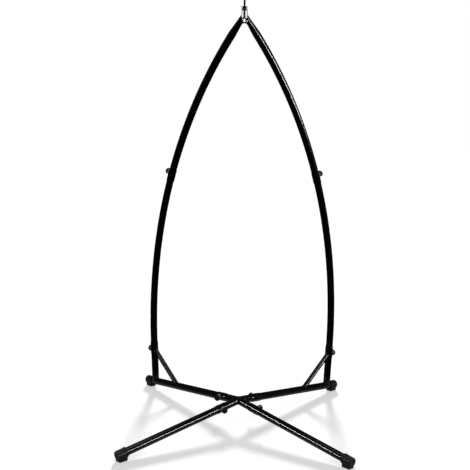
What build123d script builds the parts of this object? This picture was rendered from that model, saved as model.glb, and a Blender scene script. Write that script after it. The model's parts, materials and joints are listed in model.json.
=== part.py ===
from build123d import *
import math
import os

# A stand for a hanging hammock chair: four tube legs push into a raised X hub, two bowed
# masts rise from the rear legs and meet above the hub, and a yoke across their tips
# carries a swivelling eye bolt.  Hand knobs lock every push-fit joint.
# Millimetres.  The origin is on the floor below the hub, +Z is up and -Y is the open front.

# Overall sizes
leg_reach = 745.0           # from the centre line to the outer face of a foot cap
hub_height = 111.0          # floor to the crossing of the leg axes
foot_axis_height = 28.0     # floor to the leg axis at the outer face of the foot cap
apex_height = 1986.0        # floor to the middle of the mast tips

# Round steel tube
tube_radius = 19.0
tube_wall = 1.6
slip_gap = 0.15             # radial gap between a tube and the socket it slides into
socket_wall = 1.85
flare_length = 8.0          # length of the cone between plain tube and expanded socket

# Hub
arm_length = 147.0          # hub centre to socket mouth, along the leg
hub_socket_depth = 56.0
hub_knob_inset = 24.0       # socket mouth to knob axis

# Foot caps
cap_length = 50.0
cap_wall = 4.0
cap_end_wall = 4.0
cap_gap = 0.1               # radial gap between the leg and its cap
cap_rounding = 3.0
cap_rim = 1.2               # how far the rim at the mouth stands out
cap_rim_length = 5.0
pad_width = 36.0
pad_inset = 4.0             # cap end to the outer end of the pad
pad_rounding = 5.0
pad_grooves = 3
pad_groove_width = 2.0
pad_groove_depth = 1.0

# Mast sockets on the rear legs, and their braces
stub_cap_gap = 0.8          # foot cap to the side of the stub
stub_lean = 3.5             # degrees outwards
stub_length = 224.0         # leg axis to socket mouth
stub_socket_depth = 60.0
stub_knob_inset = 40.0
brace_radius = 12.7
brace_wall = 1.5
brace_spread = 195.5        # foot of the stub to the foot of the brace
brace_below_mouth = 37.0    # socket mouth to the top of the brace's axis

# Masts
mid_mouth_height = 1233.0   # floor to the mouth of the joint between the two mast tubes
mid_socket_depth = 55.0
mid_knob_inset = 20.0
tip_length = 95.0           # straight swaged end of the upper tube
tip_radius = 13.0
tip_plate = 4.0             # thickness of the plate that closes the tip
tip_plate_edge = 0.8        # how far the plate stands out round the tube
tip_overrun = 47.5          # extra length before the tip is cut to the yoke

# Yoke across the tips
yoke_width = 28.0
yoke_strap = 3.0
yoke_top_thickness = 4.0
yoke_corner = 5.0           # outside radius of the strap's corners
yoke_bend_above_apex = 6.0  # the legs lean inwards below this height
yoke_lean = 12.7            # degrees
yoke_leg_front = 9.0        # y of the front edge of the yoke's legs
yoke_leg_depth = 22.0
yoke_leg_below_apex = 21.0
yoke_top_above_apex = 44.0  # top face of the yoke
yoke_nose = 12.0            # how far the top runs in front of the eye bolt's axis
yoke_bolt_radius = 3.0
yoke_bolt_reach = 10.0
yoke_bolt_head = 4.0
yoke_bolt_rim = 2.0
yoke_bolt_below_apex = 6.0

# Swivelling eye bolt and its hardware
eye_y = -8.0
eye_shank_radius = 5.0
eye_running_gap = 0.08
eye_top_above_yoke = 41.0
eye_shank_chamfer = 1.2
eye_bore_radius = 7.0
eye_section = 7.0           # width of metal round the bore
eye_bore_chamfer = 1.0
eye_thickness = 9.0
eye_rounding = 2.5
eye_below_apex = 9.0        # apex to the centre of the eye
washer_rim = 6.0            # washer beyond the shank
washer_thickness = 2.0
nut_wall = 3.5              # from the shank to a flat
nut_height = 9.0
nut_slot = 3.6
nut_slot_depth = 4.0
split_pin_radius = 1.5
split_pin_overhang = 2.5
split_pin_leg = 6.6         # length of the spread legs
split_pin_spread = 45.0     # degrees below level
body_gap = 0.3              # space between faces of bodies that move past each other

# Hand knobs
knob_radius = 16.0
knob_skirt = 8.0
knob_height = 18.0
knob_crown_radius = 8.0
knob_rounding = 2.6
knob_neck_radius = 12.0
knob_neck = 2.0
knob_flutes = 12
knob_flute_radius = 2.4
stud_radius = 4.0
stud_in_head = 12.0
stud_pitch = 1.25
stud_turns = 8              # turns that free the inner tube
stud_tip_spare = 0.25
stud_hole_gap = 0.5         # radial, in the socket and the inner tube
saddle_radius = 14.0
saddle_thickness = 6.0
saddle_bore_gap = 0.2
tube_nut_wall = 2.95
tube_nut_length = 7.5
tube_nut_gap = 0.05

# Worked out from the sizes above
bore_radius = tube_radius - tube_wall
socket_bore_radius = tube_radius + slip_gap
socket_radius = socket_bore_radius + socket_wall
leg_slope = math.degrees(math.atan2(hub_height - foot_axis_height, leg_reach))
leg_length = math.hypot(leg_reach, hub_height - foot_axis_height)
stub_tilt = math.radians(leg_slope - stub_lean)
stub_half_foot = tube_radius * (1 / math.cos(stub_tilt) - math.tan(stub_tilt))
stub_reach = math.cos(math.radians(leg_slope)) * (
    leg_length - cap_length - stub_cap_gap - stub_half_foot)
brace_foot_reach = stub_reach - brace_spread
brace_top = stub_length - brace_below_mouth
stud_hole_radius = stud_radius + stud_hole_gap
tube_nut_bore_radius = stud_radius + tube_nut_gap
tube_nut_radius = tube_nut_bore_radius + tube_nut_wall
eye_outer_radius = eye_bore_radius + eye_section
nut_flats = 2 * (eye_shank_radius + nut_wall)
split_pin_reach = nut_flats / 2 + split_pin_overhang
cap_bore_radius = tube_radius + cap_gap
cap_radius = cap_bore_radius + cap_wall
yoke_top = apex_height + yoke_top_above_apex
FAR = 4.0 * leg_reach
BASE = (Align.CENTER, Align.CENTER, Align.MIN)
LEG_AZIMUTH = {"front_left": 225, "front_right": 315, "rear_right": 45, "rear_left": 135}


def direction(lean):
    """Unit vector in a leg's upright plane, leaning inwards by lean degrees."""
    angle = math.radians(lean)
    return Vector(-math.sin(angle), 0, math.cos(angle))


def station(point, along):
    """Plane at a point of a leg's upright plane, with Z along the tube."""
    return Plane(origin=point, x_dir=(0, 1, 0), z_dir=along)


def rod(frame, radius, start, end):
    """Round bar along the frame's Z from start to end."""
    return frame * (Pos(0, 0, start) * Cylinder(radius, end - start, align=BASE))


def turned(frame, outline):
    """Solid of revolution about the frame's Z from (radius, height) points."""
    face = make_face(Polyline(*[(r, h) for r, h in outline], close=True))
    return frame * revolve(Plane.XZ * face, Axis.Z)


def ring(frame, outer, inner):
    return frame * (Circle(outer) - Circle(inner))


def socketed(frame, start, mouth, depth):
    """Straight tube that opens out into a socket at its mouth."""
    bottom = mouth - depth
    flare = bottom - flare_length
    outline = [
        (bore_radius, start), (tube_radius, start), (tube_radius, flare),
        (socket_radius, bottom), (socket_radius, mouth), (socket_bore_radius, mouth),
        (socket_bore_radius, bottom), (bore_radius, bottom),
    ]
    return turned(frame, outline)


def bent(point, lean, sweep_angle, outer, inner):
    """Tube bent inwards along the mast's arc, from a point and a starting lean."""
    section = ring(station(point, direction(lean)), outer, inner)
    angle = math.radians(lean)
    centre = point - Vector(math.cos(angle), 0, math.sin(angle)) * mast_bend_radius
    return revolve(section, Axis(centre, (0, -1, 0)), sweep_angle)


def placed(part, azimuth):
    return Rot(0, 0, azimuth) * part


# Axes in a leg's upright plane: X is outwards, Z is up
leg_along = direction(-90 - leg_slope)
leg_frame = station(Vector(0, 0, hub_height), leg_along)
stub_foot = Vector(stub_reach, 0, hub_height - stub_reach * math.tan(math.radians(leg_slope)))
stub_along = direction(-stub_lean)
stub_frame = station(stub_foot, stub_along)
mast_foot = stub_foot + stub_along * stub_length


def yoke_face(height):
    """Half the width between the mast tips at a height."""
    drop = apex_height + yoke_bend_above_apex - height
    return yoke_width / 2 - drop * math.tan(math.radians(yoke_lean))


def solve_mast():
    """Radius of the mast's arc and its last lean, so that its straight tip ends at the apex."""
    apex = Vector(yoke_face(apex_height) * math.sqrt(2), 0, apex_height)
    lean = 45.0
    for _ in range(40):
        bend_end = apex - direction(lean) * tip_length
        chord = bend_end - mast_foot
        lean = 2 * math.degrees(math.atan2(-chord.X, chord.Z)) + stub_lean
    radius = chord.length / (2 * math.sin(math.radians((lean + stub_lean) / 2)))
    return radius, lean


mast_bend_radius, tip_lean = solve_mast()


def mast_lean(height):
    """Lean of the mast's arc at a height."""
    rise = (height - mast_foot.Z) / mast_bend_radius
    return math.degrees(math.asin(rise - math.sin(math.radians(stub_lean))))


def mast_point(lean):
    """Point of the mast's arc where it has this lean."""
    start = math.radians(-stub_lean)
    here = math.radians(lean)
    across = math.cos(here) - math.cos(start)
    rise = math.sin(here) - math.sin(start)
    return mast_foot + Vector(across, 0, rise) * mast_bend_radius


def lean_before(lean, length):
    """Lean at a length of arc below the given lean."""
    return lean - math.degrees(length / mast_bend_radius)


mid_mouth_lean = mast_lean(mid_mouth_height)
mid_bottom_lean = lean_before(mid_mouth_lean, mid_socket_depth)
mid_flare_lean = lean_before(mid_bottom_lean, flare_length)
mid_knob_lean = lean_before(mid_mouth_lean, mid_knob_inset)


# Knobs: each frame sits on the tube's axis with Z pointing out through the knob, X along the tube

stud_tip = tube_radius + stud_tip_spare - stud_turns * stud_pitch
saddle_base = socket_radius + body_gap
saddle_top = saddle_base + saddle_thickness
head_base = saddle_top + body_gap


def knob_head(frame):
    outline = [
        (0, 0), (knob_neck_radius, 0), (knob_neck_radius, knob_neck), (knob_radius, knob_neck),
        (knob_radius, knob_neck + knob_skirt), (knob_crown_radius, knob_height), (0, knob_height),
    ]
    head = turned(Plane.XY, outline)
    top_edge = head.edges().filter_by(GeomType.CIRCLE).group_by(Axis.Z)[-1]
    shoulder = head.edges().filter_by(GeomType.CIRCLE).group_by(Axis.Z)[-2]
    head = fillet(top_edge + shoulder, knob_rounding)
    for index in range(knob_flutes):
        turn = Rot(0, 0, 360 / knob_flutes * index)
        flute = Cylinder(knob_flute_radius, knob_height, align=BASE)
        head -= turn * (Pos(knob_radius + knob_flute_radius / 2, 0, 0) * flute)
    head -= Cylinder(stud_radius, stud_in_head, align=BASE)
    return frame * (Pos(0, 0, head_base) * head)


def knob_stud(frame):
    return rod(frame, stud_radius, stud_tip, head_base + stud_in_head)


def knob_saddle(frame):
    blank = rod(frame, saddle_radius, 0, saddle_top)
    across_tube = frame * (Rot(0, 90, 0) * Cylinder(saddle_base, 4 * saddle_radius))
    return blank - across_tube - rod(frame, stud_radius + saddle_bore_gap, 0, saddle_top)


def tube_nut(frame):
    blank = rod(frame, tube_nut_radius, bore_radius - tube_nut_length, tube_radius)
    inside_tube = frame * (Rot(0, 90, 0) * Cylinder(bore_radius, 4 * tube_nut_radius))
    return (blank & inside_tube) - rod(frame, tube_nut_bore_radius, 0, tube_radius)


def stud_hole(frame):
    return rod(frame, stud_hole_radius, 0, socket_radius + body_gap)


def outward_frame(point, lean):
    """Knob frame on a mast: the knob points outwards in the mast's own plane."""
    return Plane(origin=point, x_dir=direction(lean), z_dir=direction(lean - 90))


hub_knob_frame = Plane(
    origin=Vector(0, 0, hub_height) + leg_along * (arm_length - hub_knob_inset),
    x_dir=leg_along, z_dir=(0, 1, 0),
)
stub_knob_frame = outward_frame(mast_foot - stub_along * stub_knob_inset, -stub_lean)
mid_knob_frame = outward_frame(mast_point(mid_knob_lean), mid_knob_lean)


# Base, in a leg's own plane

def hub_arm():
    """One arm of the hub, mitred against its neighbours and open at its socket."""
    arm = socketed(leg_frame, -2 * tube_radius, arm_length, hub_socket_depth)
    quarter = make_face(Polyline((0, 0), (FAR, FAR), (FAR, -FAR), close=True))
    return (arm & extrude(quarter, hub_height * 2)) - stud_hole(hub_knob_frame)


def leg_tube():
    start = arm_length - hub_socket_depth
    end = leg_length - cap_end_wall
    leg = rod(leg_frame, tube_radius, start, end) - rod(leg_frame, bore_radius, start, end)
    return leg - stud_hole(hub_knob_frame)


def foot_cap():
    """Push-on cap with a flat-bottomed pad that stands on the floor."""
    start = leg_length - cap_length
    cap = rod(leg_frame, cap_radius, start, leg_length)
    outer_edge = cap.edges().filter_by(GeomType.CIRCLE).sort_by(Axis.X)[-1]
    cap = fillet(outer_edge, cap_rounding)
    cap += rod(leg_frame, cap_radius + cap_rim, start, start + cap_rim_length)
    mouth = leg_frame.origin + leg_along * start
    pad_length = leg_reach - pad_inset - mouth.X
    pad = Pos(leg_reach - pad_inset, 0, 0) * Box(
        pad_length, pad_width, foot_axis_height, align=(Align.MAX, Align.CENTER, Align.MIN))
    pad = fillet(pad.edges().filter_by(Axis.Z), pad_rounding)
    for index in range(pad_grooves):
        place = leg_reach - pad_inset - pad_length * (index + 1) / (pad_grooves + 1)
        pad -= Pos(place, 0, 0) * Box(pad_groove_width, pad_width, 2 * pad_groove_depth)
    bore_end = leg_length - cap_end_wall
    return cap + pad - rod(leg_frame, cap_bore_radius, start - cap_length, bore_end)


# Masts, in the same plane

def mast_stub():
    """Upright socket, saddle-cut to sit on the leg."""
    stub = socketed(stub_frame, 0, stub_length, stub_socket_depth)
    return stub - rod(leg_frame, tube_radius, 0, leg_length) - stud_hole(stub_knob_frame)


def brace():
    """Slanting tube between the leg and the stub, cut to fit both."""
    drop = math.tan(math.radians(leg_slope))
    foot = Vector(brace_foot_reach, 0, hub_height - brace_foot_reach * drop)
    top = stub_foot + stub_along * brace_top
    length = (top - foot).length
    frame = station(foot, (top - foot).normalized())
    tube = rod(frame, brace_radius, 0, length) - rod(frame, brace_radius - brace_wall, 0, length)
    bottom = stub_length - stub_socket_depth
    stub_outline = [
        (0, 0), (tube_radius, 0), (tube_radius, bottom - flare_length),
        (socket_radius, bottom), (socket_radius, stub_length), (0, stub_length),
    ]
    return tube - rod(leg_frame, tube_radius, 0, leg_length) - turned(stub_frame, stub_outline)


def flare(outer_lean, socket_lean):
    """Cone between the plain mast tube and its socket."""
    low = station(mast_point(outer_lean), direction(outer_lean))
    high = station(mast_point(socket_lean), direction(socket_lean))
    outer = loft([low * Circle(tube_radius), high * Circle(socket_radius)])
    return outer - loft([low * Circle(bore_radius), high * Circle(bore_radius)])


def lower_mast():
    """Lower tube: straight in the stub, bent above it, and a socket at its top."""
    start = stub_length - stub_socket_depth
    spigot = rod(stub_frame, tube_radius, start, stub_length)
    spigot -= rod(stub_frame, bore_radius, start, stub_length)
    bend = bent(mast_foot, -stub_lean, mid_flare_lean + stub_lean, tube_radius, bore_radius)
    socket = bent(mast_point(mid_bottom_lean), mid_bottom_lean,
                  mid_mouth_lean - mid_bottom_lean, socket_radius, socket_bore_radius)
    mast = spigot + bend + flare(mid_flare_lean, mid_bottom_lean) + socket
    return mast - stud_hole(stub_knob_frame) - stud_hole(mid_knob_frame)


def tip_frame():
    return station(mast_point(tip_lean), direction(tip_lean))


def tip_cone(start_radius, end_radius):
    """Swaged tip, run on past the apex so that it can be cut to the yoke."""
    length = tip_length + tip_overrun
    end = start_radius + (end_radius - start_radius) * length / tip_length
    outline = [(0, 0), (start_radius, 0), (end, length), (0, length)]
    return turned(tip_frame(), outline)


def tip_cut(offset):
    """Everything on the yoke's side of the face of the right-hand mast tip."""
    lean = math.radians(yoke_lean)
    normal = Vector(math.cos(lean), 0, -math.sin(lean))
    point = Vector(yoke_face(apex_height), 0, apex_height) + normal * offset
    side = Plane(origin=point, x_dir=(0, 1, 0), z_dir=-normal)
    return side * Box(FAR, FAR, FAR, align=BASE)


def upper_mast():
    """Upper tube of the right-hand mast: bent, swaged and cut at the tip."""
    bend = bent(mast_point(mid_bottom_lean), mid_bottom_lean,
                tip_lean - mid_bottom_lean, tube_radius, bore_radius)
    tip = tip_cone(tube_radius, tip_radius) - tip_cone(bore_radius, tip_radius - tube_wall)
    mast = bend + tip - stud_hole(mid_knob_frame)
    return placed(mast, LEG_AZIMUTH["rear_right"]) - tip_cut(tip_plate)


def tip_end_plate():
    """Plate that closes the right-hand mast tip and takes the yoke's bolt."""
    blank = placed(tip_cone(tube_radius + tip_plate_edge, tip_radius + tip_plate_edge),
                   LEG_AZIMUTH["rear_right"])
    plate = blank & (tip_cut(tip_plate) - tip_cut(0))
    return plate - yoke_bolt_shank()


# Yoke and eye bolt, in the stand's own frame

def yoke_bolt_frame():
    """On the yoke's right-hand contact face, with Z outwards into the mast tip."""
    lean = math.radians(yoke_lean)
    height = apex_height - yoke_bolt_below_apex
    y = yoke_leg_front + yoke_leg_depth / 2
    return Plane(origin=(yoke_face(height), y, height), x_dir=(0, 1, 0),
                 z_dir=(math.cos(lean), 0, -math.sin(lean)))


def yoke_bolt_shank():
    return rod(yoke_bolt_frame(), yoke_bolt_radius, -yoke_strap, yoke_bolt_reach - yoke_strap)


def yoke_bolt():
    hexagon = RegularPolygon(yoke_bolt_radius + yoke_bolt_rim, 6, major_radius=False)
    head = extrude(hexagon, -yoke_bolt_head)
    return yoke_bolt_shank() + yoke_bolt_frame() * (Pos(0, 0, -yoke_strap) * head)


def yoke():
    """Strap bent over the mast tips, with a nose that carries the eye bolt."""
    outer = yoke_width / 2
    bend = apex_height + yoke_bend_above_apex
    foot = apex_height - yoke_leg_below_apex
    inner = outer - yoke_strap
    shift = yoke_face(foot)
    outline = [(shift, foot), (outer, bend), (outer, yoke_top), (-outer, yoke_top), (-outer, bend),
               (-shift, foot), (yoke_strap - shift, foot), (-inner, bend),
               (-inner, yoke_top - yoke_top_thickness), (inner, yoke_top - yoke_top_thickness),
               (inner, bend), (shift - yoke_strap, foot)]
    strap = extrude(Plane.XZ * make_face(Polyline(*outline, close=True)), -yoke_leg_depth)
    corners = strap.edges().filter_by(Axis.Y).group_by(Axis.Z)[-1]
    strap = fillet(corners, yoke_corner)
    strap = Pos(0, yoke_leg_front, 0) * strap
    nose_length = yoke_leg_front - eye_y + yoke_nose
    nose = Box(yoke_width, nose_length, yoke_top_thickness,
               align=(Align.CENTER, Align.MAX, Align.MAX))
    nose = Pos(0, yoke_leg_front, yoke_top) * nose
    front = nose.edges().filter_by(Axis.Z).group_by(Axis.Y)[0]
    part = strap + fillet(front, yoke_nose / 2)
    part -= Pos(0, eye_y, yoke_top - 2 * yoke_top_thickness) * Cylinder(
        eye_shank_radius + eye_running_gap, 3 * yoke_top_thickness, align=BASE)
    return part - yoke_bolt_shank() - mirror(yoke_bolt_shank(), Plane.YZ)


def split_pin_bore():
    return Pos(0, eye_y, split_pin_height) * (Rot(0, 90, 0) * Cylinder(split_pin_radius, nut_flats * 2))


nut_base = yoke_top + washer_thickness + body_gap
split_pin_height = nut_base + nut_height - nut_slot_depth / 2


def eye_bolt():
    """Threaded shank with a forged eye below the yoke."""
    eye_height = apex_height - eye_below_apex
    eye = Rot(90, 0, 0) * Cylinder(eye_outer_radius, eye_thickness)
    eye = fillet(eye.edges().filter_by(GeomType.CIRCLE), eye_rounding)
    half = eye_thickness / 2
    lip = eye_bore_radius + eye_bore_chamfer
    bore = turned(Plane.XZ, [(0, -half), (lip, -half), (eye_bore_radius, eye_bore_chamfer - half),
                             (eye_bore_radius, half - eye_bore_chamfer), (lip, half), (0, half)])
    shank_start = eye_bore_radius + eye_section / 2
    shank_length = yoke_top + eye_top_above_yoke - eye_height - shank_start
    shank = Cylinder(eye_shank_radius, shank_length, align=BASE)
    shank = chamfer(shank.edges().group_by(Axis.Z)[-1], eye_shank_chamfer)
    bolt = Pos(0, eye_y, eye_height) * (eye - bore + Pos(0, 0, shank_start) * shank)
    return bolt - split_pin_bore()


def eye_washer():
    washer = Cylinder(eye_shank_radius + washer_rim, washer_thickness, align=BASE)
    washer -= Cylinder(eye_shank_radius + body_gap, washer_thickness, align=BASE)
    return Pos(0, eye_y, yoke_top) * washer


def castle_nut():
    """Hexagon nut with slots that lock on the split pin."""
    nut = extrude(RegularPolygon(nut_flats / 2, 6, major_radius=False), nut_height)
    nut -= Cylinder(eye_shank_radius, nut_height, align=BASE)
    for index in range(3):
        slot = Box(nut_flats * 2, nut_slot, nut_slot_depth, align=BASE)
        nut -= Rot(0, 0, 60 * index) * (Pos(0, 0, nut_height - nut_slot_depth) * slot)
    return Pos(0, eye_y, nut_base) * nut


def split_pin():
    """Looped head at one end and two legs spread at the other."""
    straight = Rot(0, 90, 0) * Cylinder(split_pin_radius, 2 * split_pin_reach)
    loop = Pos(-split_pin_reach - 2 * split_pin_radius, 0, 0) * (
        Rot(90, 0, 0) * Torus(2 * split_pin_radius, split_pin_radius))
    leg = Rot(0, 90 + split_pin_spread, 0) * Cylinder(split_pin_radius, split_pin_leg, align=BASE)
    elbow = Sphere(split_pin_radius)
    legs = Pos(split_pin_reach, 0, 0) * (leg + elbow)
    return Pos(0, eye_y, split_pin_height) * (straight + loop + legs)


os.makedirs("parts", exist_ok=True)
nodes = {}

for place, azimuth in LEG_AZIMUTH.items():
    nodes[f"hub_arm_{place}"] = placed(hub_arm(), azimuth)
    nodes[f"leg_{place}"] = placed(leg_tube(), azimuth)
    nodes[f"foot_cap_{place}"] = placed(foot_cap(), azimuth)

for side in ("left", "right"):
    azimuth = LEG_AZIMUTH[f"rear_{side}"]
    nodes[f"mast_stub_{side}"] = placed(mast_stub(), azimuth)
    nodes[f"mast_brace_{side}"] = placed(brace(), azimuth)
    nodes[f"lower_mast_{side}"] = placed(lower_mast(), azimuth)

nodes["upper_mast_right"] = upper_mast()
nodes["upper_mast_left"] = mirror(nodes["upper_mast_right"], Plane.YZ)
nodes["mast_tip_plate_right"] = tip_end_plate()
nodes["mast_tip_plate_left"] = mirror(nodes["mast_tip_plate_right"], Plane.YZ)

knob_places = {f"hub_{place}": (hub_knob_frame, azimuth) for place, azimuth in LEG_AZIMUTH.items()}
for side in ("left", "right"):
    knob_places[f"stub_{side}"] = (stub_knob_frame, LEG_AZIMUTH[f"rear_{side}"])
    knob_places[f"mast_{side}"] = (mid_knob_frame, LEG_AZIMUTH[f"rear_{side}"])

tube_nuts = []
for place, (frame, azimuth) in knob_places.items():
    nodes[f"knob_{place}"] = placed(knob_head(frame), azimuth)
    nodes[f"knob_stud_{place}"] = placed(knob_stud(frame), azimuth)
    nodes[f"knob_saddle_{place}"] = placed(knob_saddle(frame), azimuth)
    tube_nuts.append(placed(tube_nut(frame), azimuth))

nodes["tube_nuts"] = Compound(tube_nuts)
nodes["yoke"] = yoke()
nodes["yoke_bolts"] = Compound([yoke_bolt(), mirror(yoke_bolt(), Plane.YZ)])
nodes["eye_bolt"] = eye_bolt()
nodes["eye_washer"] = eye_washer()
nodes["castle_nut"] = castle_nut()
nodes["split_pin"] = split_pin()

for name, part in nodes.items():
    export_step(part, f"parts/{name}.step")
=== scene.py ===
# %% [markdown]
# # A stand for a hanging hammock chair
#
# The real stand is black enamelled steel tube. Four legs push into a raised hub, two bowed masts
# rise from the rear legs, and a bright yoke joins their tips and carries a swivelling eye bolt.
# The engineering model already holds the true shape and place of every part, so this lesson
# loads it as a fixed frame. It then adds what a maker's eye would look for: welds, threads,
# moulded grips and finishes that catch the light as the real ones do.

# %% Load the frame
import bmesh
import bpy
import json
import math
from mathutils import Matrix, Vector
from random import Random


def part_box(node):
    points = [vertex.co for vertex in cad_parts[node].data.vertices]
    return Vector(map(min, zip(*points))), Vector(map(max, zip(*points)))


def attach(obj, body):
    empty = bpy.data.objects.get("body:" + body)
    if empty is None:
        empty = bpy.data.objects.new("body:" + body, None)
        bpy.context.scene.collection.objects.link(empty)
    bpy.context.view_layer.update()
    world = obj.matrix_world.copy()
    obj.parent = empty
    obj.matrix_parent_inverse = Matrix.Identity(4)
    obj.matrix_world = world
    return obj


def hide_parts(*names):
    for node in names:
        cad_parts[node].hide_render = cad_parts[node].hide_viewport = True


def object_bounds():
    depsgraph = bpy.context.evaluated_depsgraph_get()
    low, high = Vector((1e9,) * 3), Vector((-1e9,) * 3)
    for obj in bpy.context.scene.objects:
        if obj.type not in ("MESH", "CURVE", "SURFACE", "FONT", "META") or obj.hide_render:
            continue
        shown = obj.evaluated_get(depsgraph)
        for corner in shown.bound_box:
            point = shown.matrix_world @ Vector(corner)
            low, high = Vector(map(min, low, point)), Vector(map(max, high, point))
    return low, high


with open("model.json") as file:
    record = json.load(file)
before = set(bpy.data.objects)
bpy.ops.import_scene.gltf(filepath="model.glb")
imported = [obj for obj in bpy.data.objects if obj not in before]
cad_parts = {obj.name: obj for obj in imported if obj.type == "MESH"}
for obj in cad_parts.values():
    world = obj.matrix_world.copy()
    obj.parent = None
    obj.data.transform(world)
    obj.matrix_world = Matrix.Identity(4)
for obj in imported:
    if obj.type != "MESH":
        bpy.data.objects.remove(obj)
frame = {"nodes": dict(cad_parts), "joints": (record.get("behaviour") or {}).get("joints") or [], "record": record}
cad_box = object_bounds()
nodes = frame["nodes"]
joints = {joint["name"]: joint for joint in frame["joints"]}
print(len(nodes), "nodes and", len(joints), "joints, box", cad_box)

# %% [markdown]
# ## The camera
#
# The stand is seen from the height of a standing eye, through a long lens and slightly to the
# right of the middle. A camera can be placed by an empty and a tracking constraint, but a plain
# position with three turns says the same thing in numbers that can be read and changed.

# %% Place the camera
SENSOR = 36.0
FOCAL_LENGTH = 66.4
CAMERA_PLACE = Vector((0.1116, -4.1762, 1.6579))
CAMERA_PAN = math.radians(1.927)
CAMERA_TILT = math.radians(9.533)
CAMERA_ROLL = math.radians(0.860)

camera = bpy.data.objects.new("camera", bpy.data.cameras.new("camera"))
camera.data.sensor_width = SENSOR
camera.data.lens = FOCAL_LENGTH
heading = Matrix.Rotation(CAMERA_PAN, 4, "Z")
tilt = Matrix.Rotation(math.pi / 2 - CAMERA_TILT, 4, "X")
roll = Matrix.Rotation(CAMERA_ROLL, 4, "Z")
camera.matrix_world = Matrix.Translation(CAMERA_PLACE) @ heading @ tilt @ roll
bpy.context.scene.collection.objects.link(camera)
bpy.context.scene.camera = camera
print("camera at", tuple(CAMERA_PLACE), "lens", FOCAL_LENGTH)

# %% [markdown]
# ## The studio
#
# The stand is set in a white studio: a pale floor, soft light from above and a bright sweep
# behind. Gloss enamel shows mostly what it mirrors, so the room matters more than the lamps. A
# world of one colour would leave the tubes grey and flat. This one is white to the eye, soft to
# matt surfaces and nearly dark to gloss, as black flags round a studio set would make it.

# %% A room for gloss to mirror
WHITE = (1.0, 1.0, 1.0, 1.0)
ROOM_DIM = 0.012
ROOM_GLOW = 0.05
AMBIENT = 0.62
GLOW_TOP = 0.42

world = bpy.data.worlds.new("studio")
bpy.context.scene.world = world
world.use_nodes = True
room = world.node_tree
room.nodes.clear()


def room_node(kind, inputs, **settings):
    """A node of the world's tree; inputs are values or output sockets, by name or number."""
    node = room.nodes.new(kind)
    for name, value in settings.items():
        setattr(node, name, value)
    for key, value in inputs.items():
        if isinstance(value, bpy.types.NodeSocket):
            room.links.new(value, node.inputs[key])
        else:
            node.inputs[key].default_value = value
    return node


ray = room_node("ShaderNodeLightPath", {})
way = room_node("ShaderNodeTexCoord", {})
height = room_node("ShaderNodeSeparateXYZ", {0: way.outputs["Generated"]})
fade = {"Value": height.outputs["Z"], "From Min": 0.0, "From Max": GLOW_TOP,
        "To Min": ROOM_GLOW, "To Max": ROOM_DIM}
glow = room_node("ShaderNodeMapRange", fade, interpolation_type="SMOOTHSTEP")
gloss_ray, eye_ray = ray.outputs["Is Glossy Ray"], ray.outputs["Is Camera Ray"]
soft = room_node("ShaderNodeMix", {0: gloss_ray, 2: AMBIENT, 3: glow.outputs[0]})
seen = room_node("ShaderNodeMix", {0: eye_ray, 2: soft.outputs[0], 3: 1.0})
light = room_node("ShaderNodeBackground", {"Color": WHITE, "Strength": seen.outputs[0]})
room_node("ShaderNodeOutputWorld", {"Surface": light.outputs[0]})
bpy.context.scene.view_settings.view_transform = "Standard"
print("the room is", ROOM_DIM, "above and", ROOM_GLOW, "low down to gloss")

# %% [markdown]
# ## Lamps
#
# A level, narrow soft box at each side gives the tubes their thin bright lines. Both stand
# forward of the middle, so that the front legs mirror them and the rear legs stay dark. The
# right one is long and far off, so the right mast mirrors it too. The left one is short, low and
# close, with a grid that narrows its spread, so that it reaches only the front right leg. A wide
# box overhead lights what is matt. Area lamps stay hidden from the camera, so the background
# stays clean from every side. A low sun behind the stand lays the faint forward shadows of the
# rear legs on the floor. It is kept out of the gloss, where it would add a second line.

# %% Hang the soft boxes
def soft_box(name, place, target, size, power, gloss_only=True, spread=180):
    """An area lamp at a place, turned to a target. Most show only as lines in the gloss."""
    data = bpy.data.lights.new(name, "AREA")
    data.shape = "RECTANGLE"
    data.size, data.size_y = size
    data.energy = power
    data.spread = math.radians(spread)
    lamp = bpy.data.objects.new(name, data)
    towards = Vector(target) - Vector(place)
    turn = towards.to_track_quat("-Z", "Y").to_matrix().to_4x4()
    lamp.matrix_world = Matrix.Translation(place) @ turn
    lamp.visible_camera = False
    lamp.visible_diffuse = not gloss_only
    bpy.context.scene.collection.objects.link(lamp)
    return lamp


MIDDLE = (cad_box[0] + cad_box[1]) / 2
soft_box("right_strip", (3.3, -1.3, 1.25), (0.0, -1.3, 1.25), (2.6, 0.14), 70)
soft_box("left_strip", (-1.3, -0.55, 0.75), (0.3, -0.40, 0.07), (0.8, 0.06), 1.5, spread=70)
soft_box("top_box", (0.0, 0.4, 4.6), MIDDLE, (2.4, 2.0), 30, gloss_only=False)

SUN_HEIGHT = math.radians(21.6)
SUN_WIDTH = math.radians(8)
SUN_STRENGTH = 12.5

low_back = bpy.data.objects.new("low_back", bpy.data.lights.new("low_back", "SUN"))
low_back.data.energy = SUN_STRENGTH
low_back.data.angle = SUN_WIDTH
low_back.rotation_euler = (math.pi / 2 - SUN_HEIGHT, 0, math.pi)
low_back.visible_glossy = False
bpy.context.scene.collection.objects.link(low_back)
print("lamps aim at", tuple(round(x, 3) for x in MIDDLE))

# %% [markdown]
# ## The floor
#
# The floor is one large flat sheet just under the feet. A plane could be scaled up, but a
# grid made at full size keeps its scale at one.

# %% Lay the floor
FLOOR_SIDE = 40.0
FLOOR_DROP = 0.0002

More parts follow.
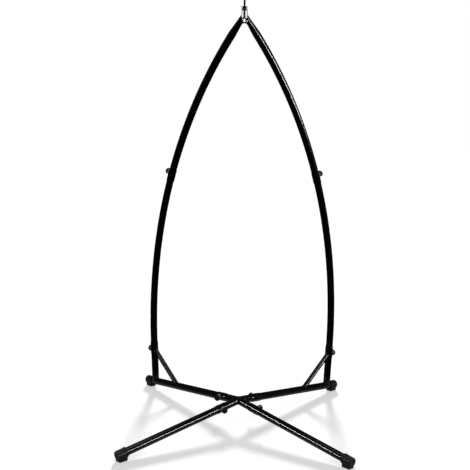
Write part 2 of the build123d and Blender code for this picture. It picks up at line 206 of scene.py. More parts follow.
floor_mesh = bpy.data.meshes.new("studio_floor")
bm = bmesh.new()
bmesh.ops.create_grid(bm, x_segments=1, y_segments=1, size=FLOOR_SIDE / 2)
bmesh.ops.translate(bm, vec=(0, 0, cad_box[0].z - FLOOR_DROP), verts=bm.verts)
bm.to_mesh(floor_mesh)
bm.free()
floor = bpy.data.objects.new("studio_floor", floor_mesh)
bpy.context.scene.collection.objects.link(floor)
print("floor at", floor_mesh.vertices[0].co.z)

# %% [markdown]
# ## A way to write finishes
#
# A finish is a graph of nodes, but long sums of Math nodes are hard to read as a graph. A small
# class wraps an output socket, so that ordinary arithmetic such as 1 - mask adds the Math nodes.
# Other nodes come from one method, which takes the node's type, its settings and its inputs.

# %% Sockets that can be added and multiplied
class Wire:
    """A value that changes over a surface. Arithmetic on it adds Math nodes to its finish."""

    def __init__(self, finish, socket):
        self.finish = finish
        self.socket = socket

    def maths(self, operation, *values):
        inputs = dict(enumerate(values))
        return self.finish.node("ShaderNodeMath", {"operation": operation}, inputs)

    def __add__(self, other):
        return self.maths("ADD", self, other)

    def __mul__(self, other):
        return self.maths("MULTIPLY", self, other)

    def __sub__(self, other):
        return self.maths("SUBTRACT", self, other)

    def __rsub__(self, other):
        return self.maths("SUBTRACT", other, self)

    def above(self, low, high):
        """0 below low, 1 above high and smooth between."""
        ends = {"Value": self, "From Min": low, "From Max": high}
        return self.finish.node("ShaderNodeMapRange", {"interpolation_type": "SMOOTHSTEP"}, ends)

    __radd__ = __add__
    __rmul__ = __mul__


class Finish:
    """A material and the tools to draw its pattern in."""

    def __init__(self, name, **fixed):
        self.material = bpy.data.materials.new(name)
        self.material.use_nodes = True
        self.tree = self.material.node_tree
        self.surface = self.tree.nodes["Principled BSDF"]
        for socket, value in fixed.items():
            self.surface.inputs[socket.replace("_", " ")].default_value = value
        coordinates = self.tree.nodes.new("ShaderNodeTexCoord")
        self.place = Wire(self, coordinates.outputs["Object"])

    def node(self, kind, settings, inputs, output=0):
        """A node by its type, with its settings first and then its inputs, values or wires."""
        node = self.tree.nodes.new(kind)
        for name, value in settings.items():
            setattr(node, name, value)
        for key, value in inputs.items():
            self.feed(node.inputs[key], value)
        return Wire(self, node.outputs[output])

    def feed(self, socket, value):
        """Links a wire to a socket, or sets a plain value on it."""
        if isinstance(value, Wire):
            self.tree.links.new(value.socket, socket)
        else:
            socket.default_value = value

    def noise(self, cell, detail=2.0, stretch=(1, 1, 1), shift=0.0):
        """Smooth noise from 0 to 1 with blobs about one cell across, in metres."""
        scale = tuple(1 / (cell * s) for s in stretch)
        moved = {"Vector": self.place, "Scale": scale, "Location": (shift, shift, shift)}
        where = self.node("ShaderNodeMapping", {}, moved)
        inputs = {"Vector": where, "Scale": 1.0, "Detail": detail}
        return self.node("ShaderNodeTexNoise", {}, inputs)

    def blend(self, amount, low, high):
        """A colour between two, by an amount from 0 to 1."""
        settings = {"data_type": "RGBA"}
        return self.node("ShaderNodeMix", settings, {0: amount, 6: low, 7: high}, 2)

    def bump(self, height, depth, distance):
        """A normal for a height from 0 to 1, with a strength and a depth in metres."""
        inputs = {"Height": height, "Strength": depth, "Distance": distance}
        return self.node("ShaderNodeBump", {}, inputs)

    def wear(self, **inputs):
        """Links patterns to the surface's own sockets."""
        for socket, value in inputs.items():
            self.feed(self.surface.inputs[socket.replace("_", " ")], value)
        return self.material


def grey(level, warmth=0.0):
    """A colour of one level, a touch warm or cool."""
    return (level * (1 + warmth), level, level * (1 - warmth), 1.0)


BLACK = grey(0.0)
print("wires add, subtract and multiply")

# %% [markdown]
# ## The floor's finish
#
# The floor stays white because it is lit from below like a light table, and its own pale grey
# takes the shadows. It shines into the gloss only from close by, as a small white sheet would,
# so the legs pick up a pale underside and the masts stay black. A faint slow cloud keeps it from
# being one flat colour.

# %% Finish the floor
FLOOR_GLOW = 0.51
SHINE = 0.25
SHINE_NEAR = 0.10
SHINE_FAR = 0.35
CLOUD_CELL = 0.9

pale = Finish("pale_floor", Roughness=0.9, Specular_IOR_Level=0.0, Emission_Strength=1.0)
cloud = pale.noise(CLOUD_CELL, 3.0).above(0.3, 0.7)
to_eye = pale.node("ShaderNodeLightPath", {}, {}, "Is Camera Ray")
run = pale.node("ShaderNodeLightPath", {}, {}, "Ray Length")
shown = to_eye + (1 - to_eye) * (1 - run.above(SHINE_NEAR, SHINE_FAR)) * SHINE
sheet = pale.blend(cloud, grey(0.24), grey(0.26))
pale.wear(Base_Color=pale.blend(shown, BLACK, sheet),
          Emission_Color=pale.blend(shown, BLACK, grey(FLOOR_GLOW)))
floor_mesh.materials.append(pale.material)
print("floor finish has", len(pale.tree.nodes), "nodes")

# %% [markdown]
# ## Gloss black enamel
#
# The tubes are dipped or sprayed with a hard black enamel. It is nearly pure black, it mirrors
# the room, and its skin has the slow swell called orange peel, with a few dull handling marks.
# A real orange peel is far too fine to model, so it is a bump of two noises. The handling marks
# are upright streaks of noise cut at a high threshold. They dull the gloss, thin the coat and
# lift the black a little.

# %% Mix the enamel
ENAMEL_GLOSS = 0.13
WELD_DULLNESS = 0.08
SWELL_CELL = 0.11
SCUFF_CELL = 0.006
RUB_CELL = 0.05
PEEL_CELL = 0.0032
DUST_CELL = 0.0009
PEEL_HEIGHT = 0.0006


def enamel(name, peel_depth, gloss):
    """A coated black with slow swells of gloss, dull scuffs, orange peel and a little dust."""
    finish = Finish(name, Specular_IOR_Level=0.5, Coat_Roughness=0.12, Coat_IOR=1.5)
    swell = finish.noise(SWELL_CELL, 3.0)
    scuff = finish.noise(SCUFF_CELL, 4.0, stretch=(1.0, 1.0, 5.0)).above(0.70, 0.82)
    rubbed = scuff * finish.noise(RUB_CELL, 2.0, shift=3.0).above(0.48, 0.62)
    peel = finish.noise(PEEL_CELL, 1.0)
    dust = finish.noise(DUST_CELL, 1.0, shift=7.0).above(0.72, 0.80)
    skin = finish.bump(peel + 0.15 * dust, peel_depth, PEEL_HEIGHT)
    tone = finish.blend(rubbed * 0.6 + 0.2 * swell, grey(0.002), grey(0.008, -0.02))
    rough = gloss + 0.03 * swell + 0.10 * rubbed + 0.05 * dust
    coat = 0.35 - 0.2 * rubbed
    return finish.wear(Base_Color=tone, Roughness=rough, Coat_Weight=coat, Normal=skin)


black_enamel = enamel("black_enamel", 0.022, ENAMEL_GLOSS)
weld_enamel = enamel("enamel_over_weld", 0.10, ENAMEL_GLOSS + WELD_DULLNESS)
print("two enamels, gloss", ENAMEL_GLOSS)

# %% [markdown]
# ## Moulded plastics
#
# The foot caps are a satin black polypropylene with a fine spark-eroded grain. The knobs are a
# harder, shinier black, and the saddles under them a plain grey nylon. One function covers all
# three, since they differ only in colour, gloss and grain. The grain is bump, because its pits
# are too fine to model, and the larger blotches of colour are the flow of the plastic.

# %% Mould the plastics
FLOW_CELL = 0.018
MARK_CELL = 0.004
GRAIN_HEIGHT = 0.0003


def plastic(name, dark, light, gloss, grain_cell, grain_depth):
    """A moulded plastic with flow blotches, fine grain and a few pale handling marks."""
    finish = Finish(name, Specular_IOR_Level=0.30)
    flow = finish.noise(FLOW_CELL, 3.0)
    grain = finish.noise(grain_cell, 3.0)
    marks = finish.noise(MARK_CELL, 4.0, stretch=(1.0, 1.0, 3.0), shift=2.0).above(0.64, 0.76)
    tone = finish.blend(flow.above(0.3, 0.7) * 0.7 + 0.3 * marks, dark, light)
    rough = gloss + 0.10 * grain + 0.08 * marks
    skin = finish.bump(grain, grain_depth, GRAIN_HEIGHT)
    return finish.wear(Base_Color=tone, Roughness=rough, Normal=skin)


cap_plastic = plastic("cap_plastic", grey(0.010), grey(0.018), 0.36, 0.0007, 0.55)
knob_plastic = plastic("knob_plastic", grey(0.004), grey(0.008), 0.30, 0.0005, 0.25)
saddle_plastic = plastic("saddle_plastic", grey(0.16, -0.01), grey(0.21, 0.01),
                         0.38, 0.0006, 0.35)
print("three plastics, grain up to", GRAIN_HEIGHT * 1000, "mm deep")

# %% [markdown]
# ## Bright zinc and oiled steel
#
# The yoke, its bolts, the nuts in the tubes and the knob studs are zinc plated. Zinc is a cold
# bright metal whose spangle shows as patches of slightly different roughness, with fine lines.
# Cells of a Voronoi texture give the spangle, and noise drawn out in one direction the lines. The
# nut, washer and split pin on the eye bolt are the same steel oiled dark, so they share the
# function and differ only in their numbers.

# %% Plate the metals
LINE_CELL = 0.0012
STAIN_CELL = 0.012
ETCH = 0.0002


def plated(name, dark, bright, gloss, spangle_cell):
    """A plated metal with spangle cells, drawing lines and a few dull stains."""
    finish = Finish(name)
    inputs = {"Vector": finish.place, "Scale": 1 / spangle_cell}
    cells = finish.node("ShaderNodeTexVoronoi", {}, inputs, "Color")
    tint = finish.node("ShaderNodeSeparateColor", {}, {0: cells})
    lines = finish.noise(LINE_CELL, 3.0, stretch=(1.0, 0.25, 8.0))
    stain = finish.noise(STAIN_CELL, 4.0, shift=5.0).above(0.52, 0.72)
    tone = finish.blend(tint * 0.35 + 0.35 * lines + 0.3 * (1 - stain), dark, bright)
    rough = gloss + 0.05 * tint + 0.05 * stain + 0.05 * lines
    bare = 1.0 - 0.12 * stain
    skin = finish.bump(lines, 0.10, ETCH)
    return finish.wear(Base_Color=tone, Roughness=rough, Metallic=bare, Normal=skin)


zinc_steel = plated("zinc_steel", grey(0.62, -0.02), grey(0.86, -0.01), 0.26, 0.0035)
dark_steel = plated("dark_steel", grey(0.030, 0.02), grey(0.11, 0.01), 0.24, 0.0022)
print("two platings")

# %% [markdown]
# ## A bright eye under a shank of oil and painted shade
#
# The eye bolt is bright metal. Above its ring the shank is painted dark, partly for the oil on it and
# partly as painted shade, for the shade it stands in under the yoke and in its thread grooves. Two
# materials would meet in a hard line, so this is one finish that changes with height, and noise makes
# the line between the two wander.

# %% Darken the shank with oil and painted shade
SCALE_CELL = 0.0022
PIT_CELL = 0.0006
RING_HEIGHT = 0.024
DARK_EDGE = 0.004
DARK_WANDER = 0.003


def forged(name, black, bright, bright_below):
    """Bright metal below a height in metres; above it, a dark shank of oil and painted shade."""
    finish = Finish(name)
    heights = finish.node("ShaderNodeSeparateXYZ", {}, {0: finish.place}, "Z")
    scale = finish.noise(SCALE_CELL, 4.0)
    pits = finish.noise(PIT_CELL, 2.0, shift=4.0)
    # Above the height the tone is oil and painted shade: the shank is darkened for the shade it stands in.
    oil_and_shade_mask = (heights + DARK_WANDER * scale).above(bright_below, bright_below + DARK_EDGE)
    dull = finish.blend(scale, grey(black), grey(black * 3, 0.03))
    shiny = finish.blend(scale, grey(bright * 0.7, -0.01), grey(bright, -0.01))
    rough = 0.20 + 0.20 * oil_and_shade_mask + 0.12 * scale
    skin = finish.bump(scale + 0.5 * pits, 0.20, ETCH)
    tone = finish.blend(oil_and_shade_mask, shiny, dull)
    bare = 1.0 - 0.5 * oil_and_shade_mask
    return finish.wear(Base_Color=tone, Metallic=bare, Roughness=rough, Normal=skin)


RING_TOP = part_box("eye_bolt")[0].z + RING_HEIGHT
eye_steel = forged("eye_steel", 0.006, 0.55, RING_TOP)
print("the eye is bright below", round(RING_TOP, 4))

# %% [markdown]
# ## Finishes on the frame's own pieces
#
# Most pieces need no new shape, since the engineering model already has it. Each takes the
# finish of its material slot, which the first word of its name gives, so a part and its look
# can't drift apart. Only the nut and the washer on the eye bolt are darker than their slot.

# %% Give every node its finish
FINISHES = {"black_enamel": black_enamel, "cap_plastic": cap_plastic,
            "knob_plastic": knob_plastic, "saddle_plastic": saddle_plastic,
            "zinc_steel": zinc_steel, "eye_steel": eye_steel}
SLOT_WORDS = {"foot_cap": "cap_plastic", "knob_saddle": "saddle_plastic", "knob": "knob_plastic",
              "knob_stud": "zinc_steel", "tube_nuts": "zinc_steel", "yoke": "zinc_steel",
              "eye_bolt": "eye_steel", "eye_washer": "zinc_steel",
              "castle_nut": "zinc_steel", "split_pin": "zinc_steel"}
DARKENED = ("castle_nut", "eye_washer")


def slot_of(node):
    """The material slot of a node: that of the longest word its name starts with."""
    words = [word for word in SLOT_WORDS if node.startswith(word)]
    return SLOT_WORDS[max(words, key=len)] if words else "black_enamel"


for name, piece in nodes.items():
    piece.data.materials.clear()
    piece.data.materials.append(dark_steel if name in DARKENED else FINISHES[slot_of(name)])
print({slot: sum(slot_of(n) == slot for n in nodes) for slot in FINISHES})

# %% [markdown]
# ## Building pieces
#
# Most new pieces start as a bmesh, are shaped about their own axis with Z outwards, and are then
# moved into place in their vertices. The wire and the welds start as curves. These helpers do the
# last steps the same way for all of them.

# %% Helpers for finished pieces
SAME_POINT = 1e-6
FULL_TURN = 2 * math.pi


def frame_at(place, axis):
    """A matrix that takes Z to an axis and the origin to a place."""
    turn = Vector(axis).to_track_quat("Z", "Y").to_matrix().to_4x4()
    return Matrix.Translation(place) @ turn


def finished(bm, name, slot, body, stands_for=(), finish=None, smooth=35):
    """Closes a bmesh into a piece with a finish, riding on a body."""
    bmesh.ops.remove_doubles(bm, verts=bm.verts, dist=SAME_POINT)
    bmesh.ops.recalc_face_normals(bm, faces=bm.faces)
    mesh = bpy.data.meshes.new(name)
    bm.to_mesh(mesh)
    bm.free()
    mesh.materials.append(finish or FINISHES[slot])
    mesh.shade_smooth()
    mesh.set_sharp_from_angle(angle=math.radians(smooth))
    piece = bpy.data.objects.new(name, mesh)
    bpy.context.scene.collection.objects.link(piece)
    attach(piece, body)
    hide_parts(*stands_for)
    return piece


def turned(outline, steps):
    """A bmesh of an outline of (radius, height) points spun about Z."""
    bm = bmesh.new()
    verts = [bm.verts.new((radius, 0, height)) for radius, height in outline]
    edges = [bm.edges.new(pair) for pair in zip(verts, verts[1:])]
    bmesh.ops.spin(bm, geom=verts + edges, cent=(0, 0, 0), axis=(0, 0, 1), dvec=(0, 0, 0),
                   angle=FULL_TURN, steps=steps, use_merge=True, use_duplicate=False)
    bmesh.ops.remove_doubles(bm, verts=bm.verts, dist=SAME_POINT)
    return bm


def rounded(points, radii, steps):
    """An outline with each inner corner swapped for a short arc of its radius."""
    outline = [Vector(points[0])]
    for before, corner, after, radius in zip(points, points[1:], points[2:], radii):
        corner = Vector(corner)
        back = (Vector(before) - corner).normalized()
        on = (Vector(after) - corner).normalized()
        half = back.angle(on) / 2
        reach = radius / math.tan(half)
        centre = corner + (back + on).normalized() * (radius / math.sin(half))
        start, end = corner + back * reach, corner + on * reach
        for step in range(steps + 1):
            spoke = (start - centre).lerp(end - centre, step / steps)
            outline.append(centre + spoke.normalized() * radius)
    return outline + [Vector(points[-1])]


def span_along(node, place, axis):
    """How far a node reaches along an axis from a place: its lowest and highest."""
    heights = [(v.co - place).dot(axis) for v in nodes[node].data.vertices]
    return min(heights), max(heights)


def reach_from(node, place, axis):
    """The widest distance of a node from an axis."""
    offsets = [v.co - place for v in nodes[node].data.vertices]
    return max((offset - axis * offset.dot(axis)).length for offset in offsets)


def as_it_looks(holder):
    """A bmesh of an object with its bevel or modifiers made real. The object is removed."""
    bpy.context.scene.collection.objects.link(holder)
    depsgraph = bpy.context.evaluated_depsgraph_get()
    made = bpy.data.meshes.new_from_object(holder.evaluated_get(depsgraph))
    bpy.data.objects.remove(holder)
    bm = bmesh.new()
    bm.from_mesh(made)
    return bm


print("points closer than", SAME_POINT * 1000, "mm are merged")

# %% [markdown]
# ## Threads
#
# The knob studs and the top of the eye bolt carry real screw threads, which show when a knob is
# undone. A thread could be faked with rings or a bump, but rings don't climb. Here one tooth is
# drawn as a short upright outline and spun with a small lift at each step, so that each turn
# meets the one below. The ends are cut square, capped and chamfered.

# %% Cut a thread
THREAD_DEPTH = 0.61
TOOTH = ((0.0, 0.0), (0.0, 0.10), (1.0, 0.44), (1.0, 0.60), (0.0, 0.94), (0.0, 1.0))
THREAD_STEPS = 28
RUN_IN = 1.3


def threaded(radius, pitch, low, high, chamfer):
    """A closed screw along Z between two heights. It starts lower and is then cut to length."""
    bm = bmesh.new()
    depth = THREAD_DEPTH * pitch
    root = radius - depth
    start = low - RUN_IN * pitch
    verts = [bm.verts.new((root + depth * out, 0, start + up * pitch)) for out, up in TOOTH]
    edges = [bm.edges.new(pair) for pair in zip(verts, verts[1:])]
    turns = math.ceil((high - low) / pitch) + 2
    bmesh.ops.spin(bm, geom=verts + edges, cent=(0, 0, 0), axis=(0, 0, 1),
                   angle=FULL_TURN * turns, dvec=(0, 0, pitch / THREAD_STEPS),
                   steps=THREAD_STEPS * turns, use_merge=False, use_duplicate=False)
    bmesh.ops.remove_doubles(bm, verts=bm.verts, dist=2 * SAME_POINT)
    for height, up in ((low, -1), (high, 1)):
        geometry = bm.verts[:] + bm.edges[:] + bm.faces[:]
        bmesh.ops.bisect_plane(bm, geom=geometry, plane_co=(0, 0, height), plane_no=(0, 0, up),
                               clear_outer=True, dist=1e-7)
    for vert in bm.verts:
        from_end = min(vert.co.z - low, high - vert.co.z)
        room_left = radius - max(0.0, chamfer - from_end)
        out = vert.co.xy.length
        if out > room_left:
            vert.co.xy *= room_left / out
    open_edges = [edge for edge in bm.edges if edge.is_boundary]
    bmesh.ops.holes_fill(bm, edges=open_edges, sides=0)
    return bm


print("one turn of a thread has", THREAD_STEPS, "steps")

# %% [markdown]
# ## Hand knobs
#
# Each knob is a round moulded grip on a short neck, with twelve shallow flutes for the fingers, a
# domed shoulder and a small flat crown with a sunk disc. Cutting flutes with Booleans would leave
# knife edges. Instead the turned blank has plenty of steps round it, and each point further out
# than the flute's wall is drawn in to it, with a soft rule where the two meet, so that every lip
# is rounded as a mould would round it.

# %% Shape one knob
FLUTES = 12
STEPS_PER_FLUTE = 16
FLUTE_RADIUS = 0.0024
FLUTE_OFFSET = 0.0012
LIP = 0.0009
NECK_RADIUS = 0.012
NECK = 0.002
SKIRT = 0.0082
CROWN_RADIUS = 0.0086
DISC_RADIUS = 0.0058
DISC_SINK = 0.0006
DISC_WALL = 0.0003
CORNER_RADII = (0.0005, 0.0005, 0.0010, 0.0042, 0.0022, 0.0003, 0.0002)
CORNER_STEPS = 5
LONG_EDGE = 0.004


def soft_least(a, b, width):
    """The lesser of two numbers, eased over a width."""
    near = max(width - abs(a - b), 0.0) / width
    return min(a, b) - near * near * width / 4


def fluted_knob(radius, height):
    """A knob standing on its neck at the origin."""
    floor_of_disc = height - DISC_SINK
    points = [(0, 0), (NECK_RADIUS, 0), (NECK_RADIUS, NECK), (radius, NECK),
              (radius, NECK + SKIRT), (CROWN_RADIUS, height), (DISC_RADIUS, height),
              (DISC_RADIUS - DISC_WALL, floor_of_disc), (0, floor_of_disc)]
    bm = turned(rounded(points, CORNER_RADII, CORNER_STEPS), FLUTES * STEPS_PER_FLUTE)
    rises = {edge: abs(edge.verts[0].co.z - edge.verts[1].co.z) for edge in bm.edges}
    long_edges = [edge for edge, rise in rises.items() if rise > LONG_EDGE]
    bmesh.ops.subdivide_edges(bm, edges=long_edges, cuts=3, use_grid_fill=True)
    centre = radius + FLUTE_OFFSET
    pitch = FULL_TURN / FLUTES
    for vert in bm.verts:
        out = vert.co.xy.length
        if vert.co.z <= NECK or out < NECK_RADIUS:
            continue
        turn = (math.atan2(vert.co.y, vert.co.x) + pitch / 2) % pitch - pitch / 2
        inside = FLUTE_RADIUS ** 2 - (centre * math.sin(turn)) ** 2
        if inside > 0:
            wall = centre * math.cos(turn) - math.sqrt(inside)
            vert.co.xy *= soft_least(out, wall, LIP) / out
    return bm


TURN_JOINTS = [name for name in joints if name.startswith("knob_") and name.endswith("_turn")]
KNOBS = sorted(name[len("knob_"):-len("_turn")] for name in TURN_JOINTS)
print("knobs:", KNOBS)

# %% [markdown]
# ## Setting the knobs in place
#
# The joint record says where each knob turns and which way it points, and the engineering model
# says how tall and wide it is. Reading both keeps every grip on its own screw. A knob and its
# stud could be one piece, but the real stud is steel pressed into plastic, so they are two.

# %% Set eight knobs and their studs
STUD_PITCH = 0.00125

for key in KNOBS:
    turn_joint = joints[f"knob_{key}_turn"]
    place, axis = Vector(turn_joint["pos_m"]), Vector(turn_joint["axis"]).normalized()
    low, high = span_along(f"knob_{key}", place, axis)
    wide = reach_from(f"knob_{key}", place, axis)
    head = fluted_knob(wide, high - low)
    bmesh.ops.transform(head, matrix=frame_at(place + axis * low, axis), verts=head.verts)
    finished(head, f"knob_head_{key}", "knob_plastic", turn_joint["child"], [f"knob_{key}"])
    tip, root = span_along(f"knob_stud_{key}", place, axis)
    thick = reach_from(f"knob_stud_{key}", place, axis)
    stud = threaded(thick, STUD_PITCH, tip, root, STUD_PITCH)
    bmesh.ops.transform(stud, matrix=frame_at(place, axis), verts=stud.verts)
    finished(stud, f"knob_screw_{key}", "zinc_steel", turn_joint["child"], [f"knob_stud_{key}"])
print("knob", round(wide * 2000, 1), "mm wide,", round((high - low) * 1000, 1), "mm tall")

# %% [markdown]
# ## The forged eye
#
# The chair hangs from an eye forged on the end of a bolt. A forging has no sharp corner where the
# ring meets the shank: the metal flows from one to the other. A ring and a tapered neck are
# made overlapping first, in one mesh.

# %% Make the ring and the neck
mounts = {mount["name"]: mount for mount in frame["record"]["mounts"]}
swivel = joints["eye_bolt_swivel"]
eye_centre = Vector(mounts["chair_eye"]["pos_m"])
eye_bore = mounts["chair_eye"]["dims"]["r_mm"] / 1000
eye_low, eye_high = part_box("eye_bolt")
nut_low, nut_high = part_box("castle_nut")
eye_wide = (eye_high.x - eye_low.x) / 2
RING_SECTION = (eye_wide - eye_bore) / 2
RING_DEPTH = 0.0045
SHANK_RADIUS = 0.005
THREAD_START = nut_low.z - 0.0015

bm = bmesh.new()
circle = bmesh.ops.create_circle(bm, cap_ends=False, segments=32, radius=1.0)["verts"]
bmesh.ops.scale(bm, vec=(RING_SECTION, RING_DEPTH, 1), verts=circle)
bmesh.ops.translate(bm, vec=(eye_bore + RING_SECTION, 0, 0), verts=circle)
bmesh.ops.spin(bm, geom=bm.verts[:] + bm.edges[:], cent=(0, 0, 0), axis=(0, 1, 0),
               dvec=(0, 0, 0), angle=FULL_TURN, steps=96, use_merge=True, use_duplicate=False)
bmesh.ops.translate(bm, vec=eye_centre, verts=bm.verts)
bmesh.ops.recalc_face_normals(bm, faces=bm.faces)

neck_start = eye_bore + RING_SECTION * 0.7
neck_end = THREAD_START - eye_centre.z
neck = turned([(0, neck_start), (0.0068, neck_start), (0.0060, eye_wide + 0.0005),
               (0.0053, eye_wide + 0.004), (SHANK_RADIUS, eye_wide + 0.008),
               (SHANK_RADIUS, neck_end), (0, neck_end)], 48)
bmesh.ops.recalc_face_normals(neck, faces=neck.faces)
bmesh.ops.translate(neck, vec=eye_centre, verts=neck.verts)
neck_mesh = bpy.data.meshes.new("neck")
neck.to_mesh(neck_mesh)
neck.free()
bm.from_mesh(neck_mesh)
rough_mesh = bpy.data.meshes.new("rough_forging")
bm.to_mesh(rough_mesh)
bm.free()
print("eye", round(eye_bore * 2000, 1), "mm inside, centre at height", round(eye_centre.z, 4))

# %% [markdown]
# ## One skin over the forging
#
# A Boolean would join the two shapes but leave a crease. A voxel remesh wraps both in one skin
# of small even faces instead, and a few passes of smoothing leave just such a flowing joint as a
# forging die gives. The threaded end keeps its crisp edges, so it is a piece of its own.

# %% Skin the eye and cut its thread
VOXEL = 0.00045
EASING = 6


def skinned(mesh, voxel, passes):
    """A new bmesh of one even skin over a mesh's overlapping closed shells, smoothed."""
    blank = bpy.data.objects.new("blank", mesh)
    remesh = blank.modifiers.new("skin", "REMESH")
    remesh.mode = "VOXEL"
    remesh.voxel_size = voxel
    ease = blank.modifiers.new("ease", "SMOOTH")
    ease.factor = 0.5
    ease.iterations = passes
    return as_it_looks(blank)


forging = skinned(rough_mesh, VOXEL, EASING)
print("forged eye", len(forging.faces), "faces")
finished(forging, "forged_eye", "eye_steel", swivel["child"], ["eye_bolt"], smooth=60)

THREAD_PITCH = 0.0015
LAP = 0.0005

screw = threaded(SHANK_RADIUS, THREAD_PITCH, THREAD_START - LAP, eye_high.z, THREAD_PITCH * 0.8)
bmesh.ops.translate(screw, vec=(eye_centre.x, eye_centre.y, 0), verts=screw.verts)
finished(screw, "eye_bolt_thread", "eye_steel", swivel["child"], ["eye_bolt"])

# %% [markdown]
# ## The split pin
#
# A split pin is one wire folded back on itself. Its fold is the round head, and its two legs are
# spread after it is pushed through. A wire is what a curve is good at: a few control points along
# the middle of the wire and a thickness.

# %% Fold the split pin
pin_low, pin_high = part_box("split_pin")
HEAD_REACH = 0.0045
HEAD_WIDE = 0.0034
WIRE = 0.00078
pin_z = pin_high.z - HEAD_REACH
nut_half = (nut_high.x - nut_low.x) / 2
through = nut_half + 0.0012
head_x = pin_low.x + WIRE
UPPER_LEG = ((pin_high.x - WIRE, -0.0034), (through + 0.0012, -WIRE), (through - 0.003, -WIRE),
             (-through, -WIRE))
HEAD = ((-through - 0.0012, -WIRE), (-through - 0.002, -HEAD_WIDE),
        (head_x + 0.002, -HEAD_WIDE - 0.0002), (head_x, -HEAD_WIDE * 0.55),
        (head_x, HEAD_WIDE * 0.55), (head_x + 0.002, HEAD_WIDE + 0.0002),
        (-through - 0.002, HEAD_WIDE), (-through - 0.0012, WIRE))
LOWER_LEG = ((-through, WIRE), (through - 0.003, WIRE), (through + 0.0022, WIRE * 0.6),
             (through + 0.0030, -0.0016), (through + 0.0034, pin_low.z - pin_z + WIRE))


def wire(name, points, thickness):
    """A round wire along control points, as a closed mesh."""
    curve = bpy.data.curves.new(name, "CURVE")
    curve.dimensions = "3D"
    curve.bevel_depth = thickness
    curve.bevel_resolution = 4
    curve.use_fill_caps = True
    spline = curve.splines.new("NURBS")
    spline.points.add(len(points) - 1)
    for point, place in zip(spline.points, points):
        point.co = (*place, 1.0)
    spline.order_u = 3
    spline.use_endpoint_u = True
    spline.resolution_u = 6
    return as_it_looks(bpy.data.objects.new(name, curve))


route = [(x, eye_centre.y, pin_z + up) for x, up in UPPER_LEG + HEAD + LOWER_LEG]
pin = wire("pin_wire", route, WIRE)
finished(pin, "split_pin_wire", "zinc_steel", swivel["child"], ["split_pin"], dark_steel, 60)
print("split pin from", round(pin_low.x, 4), "to", round(pin_high.x, 4))

# %% [markdown]
# ## Weld beads
#
# The hub arms, the mast sockets, the braces and the tip plates are welded. A weld is a row of
# overlapping puddles, each a little proud of the last, and the enamel flows over them. The seam
# is already in the engineering model, as the sharp edge where a cut tube meets its neighbour.
# Drawing each seam again by hand would only come close to it. A merged copy of the piece gives
# the edge itself, as a closed chain of points.

# %% Find the seams
SHARP = math.radians(25)
ON_AXIS = 1e-5
FEWEST = 8


def seams(node):
    """The closed chains of sharp edges on a node, longest first, each a list of points.

    Edges on the upright middle line are left out, because there the mitred arms meet inside.
    """
    bm = bmesh.new()
    bm.from_mesh(nodes[node].data)
    bmesh.ops.remove_doubles(bm, verts=bm.verts, dist=2 * SAME_POINT)
    folds = [edge for edge in bm.edges if len(edge.link_faces) == 2]
    creases = [edge for edge in folds if edge.calc_face_angle(0) > SHARP]
    off_axis = [edge for edge in creases if any(v.co.xy.length > ON_AXIS for v in edge.verts)]
    sharp = dict.fromkeys(off_axis)
    chains = []
    while sharp:
        edge = next(iter(sharp))
        del sharp[edge]
        chain = list(edge.verts)
        while True:
            onward = [edge for edge in chain[-1].link_edges if edge in sharp]
            if not onward:
                break
            del sharp[onward[0]]
            chain.append(onward[0].other_vert(chain[-1]))
        if chain[0] == chain[-1] and len(chain) > FEWEST:
            chains.append([vert.co.copy() for vert in chain[:-1]])
    bm.free()
    return sorted(chains, key=chain_length, reverse=True)


def chain_length(chain):
    """How far it is round a closed chain."""
    return sum((a - b).length for a, b in zip(chain, chain[1:] + chain[:1]))


def evenly(chain, gap):
    """Points along a closed chain, a gap apart."""
    closed = chain + chain[:1]
    count = round(chain_length(chain) / gap)
    step = chain_length(chain) / count
    walked = 0.0
    points = []
    for a, b in zip(closed, closed[1:]):
        length = (b - a).length
        while len(points) < count and walked + length >= step * len(points):
            share = (step * len(points) - walked) / length if length else 0.0
            points.append(a.lerp(b, share))
        walked += length
    return points


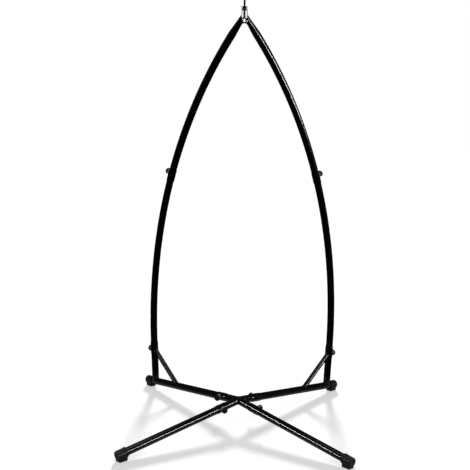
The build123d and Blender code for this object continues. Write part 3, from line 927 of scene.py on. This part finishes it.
print("hub seams", [round(chain_length(c) * 1000) for c in seams("hub_arm_front_left")][:3])

# %% [markdown]
# ## Laying the beads
#
# A welder's hand is steady but not a machine, so each puddle differs a little in size. A curve
# with a round bevel follows the seam, and its radius swells at the start of each puddle and
# falls off towards the next. The sizes come from a seeded draw, so they are the same each time.

# %% Lay the beads
PUDDLE = 0.0023
POINTS_PER_PUDDLE = 5
UNEVEN = 0.09
TAIL = 0.90
SWELL = 0.13
steady_hand = Random(7)


def bead(name, chain, thickness):
    """A rippled weld along a closed chain."""
    points = evenly(chain, PUDDLE / POINTS_PER_PUDDLE)
    puddles = max(1, round(len(points) / POINTS_PER_PUDDLE))
    sizes = [1 + steady_hand.uniform(-UNEVEN, UNEVEN) for _ in range(puddles)]
    curve = bpy.data.curves.new(name, "CURVE")
    curve.dimensions = "3D"
    curve.bevel_depth = thickness
    curve.bevel_resolution = 3
    spline = curve.splines.new("POLY")
    spline.points.add(len(points) - 1)
    for index, (point, place) in enumerate(zip(spline.points, points)):
        along = index / len(points) * puddles
        here, share = int(along), along % 1
        size = sizes[here] * (1 - share) + sizes[(here + 1) % puddles] * share
        point.co = (*place, 1.0)
        point.radius = size * (TAIL + SWELL * math.sqrt(1 - share))
    spline.use_cyclic_u = True
    bm = as_it_looks(bpy.data.objects.new(name, curve))
    return finished(bm, name, "black_enamel", "frame", finish=weld_enamel, smooth=70)


for arm in ("front_left", "rear_right"):
    bead(f"weld_hub_{arm}", seams(f"hub_arm_{arm}")[0], 0.0019)
for side in ("left", "right"):
    bead(f"weld_stub_{side}", seams(f"mast_stub_{side}")[0], 0.0020)
    ends = seams(f"mast_brace_{side}")
    bead(f"weld_brace_foot_{side}", ends[0], 0.0021)
    bead(f"weld_brace_top_{side}", ends[1], 0.0021)
    rims = seams(f"mast_tip_plate_{side}")[:2]
    outer = max(rims, key=lambda rim: abs(sum(point.x for point in rim) / len(rim)))
    bead(f"weld_tip_{side}", outer, 0.0010)
print("brace seams", [round(chain_length(seam) * 1000) for seam in ends[:2]], "mm round")
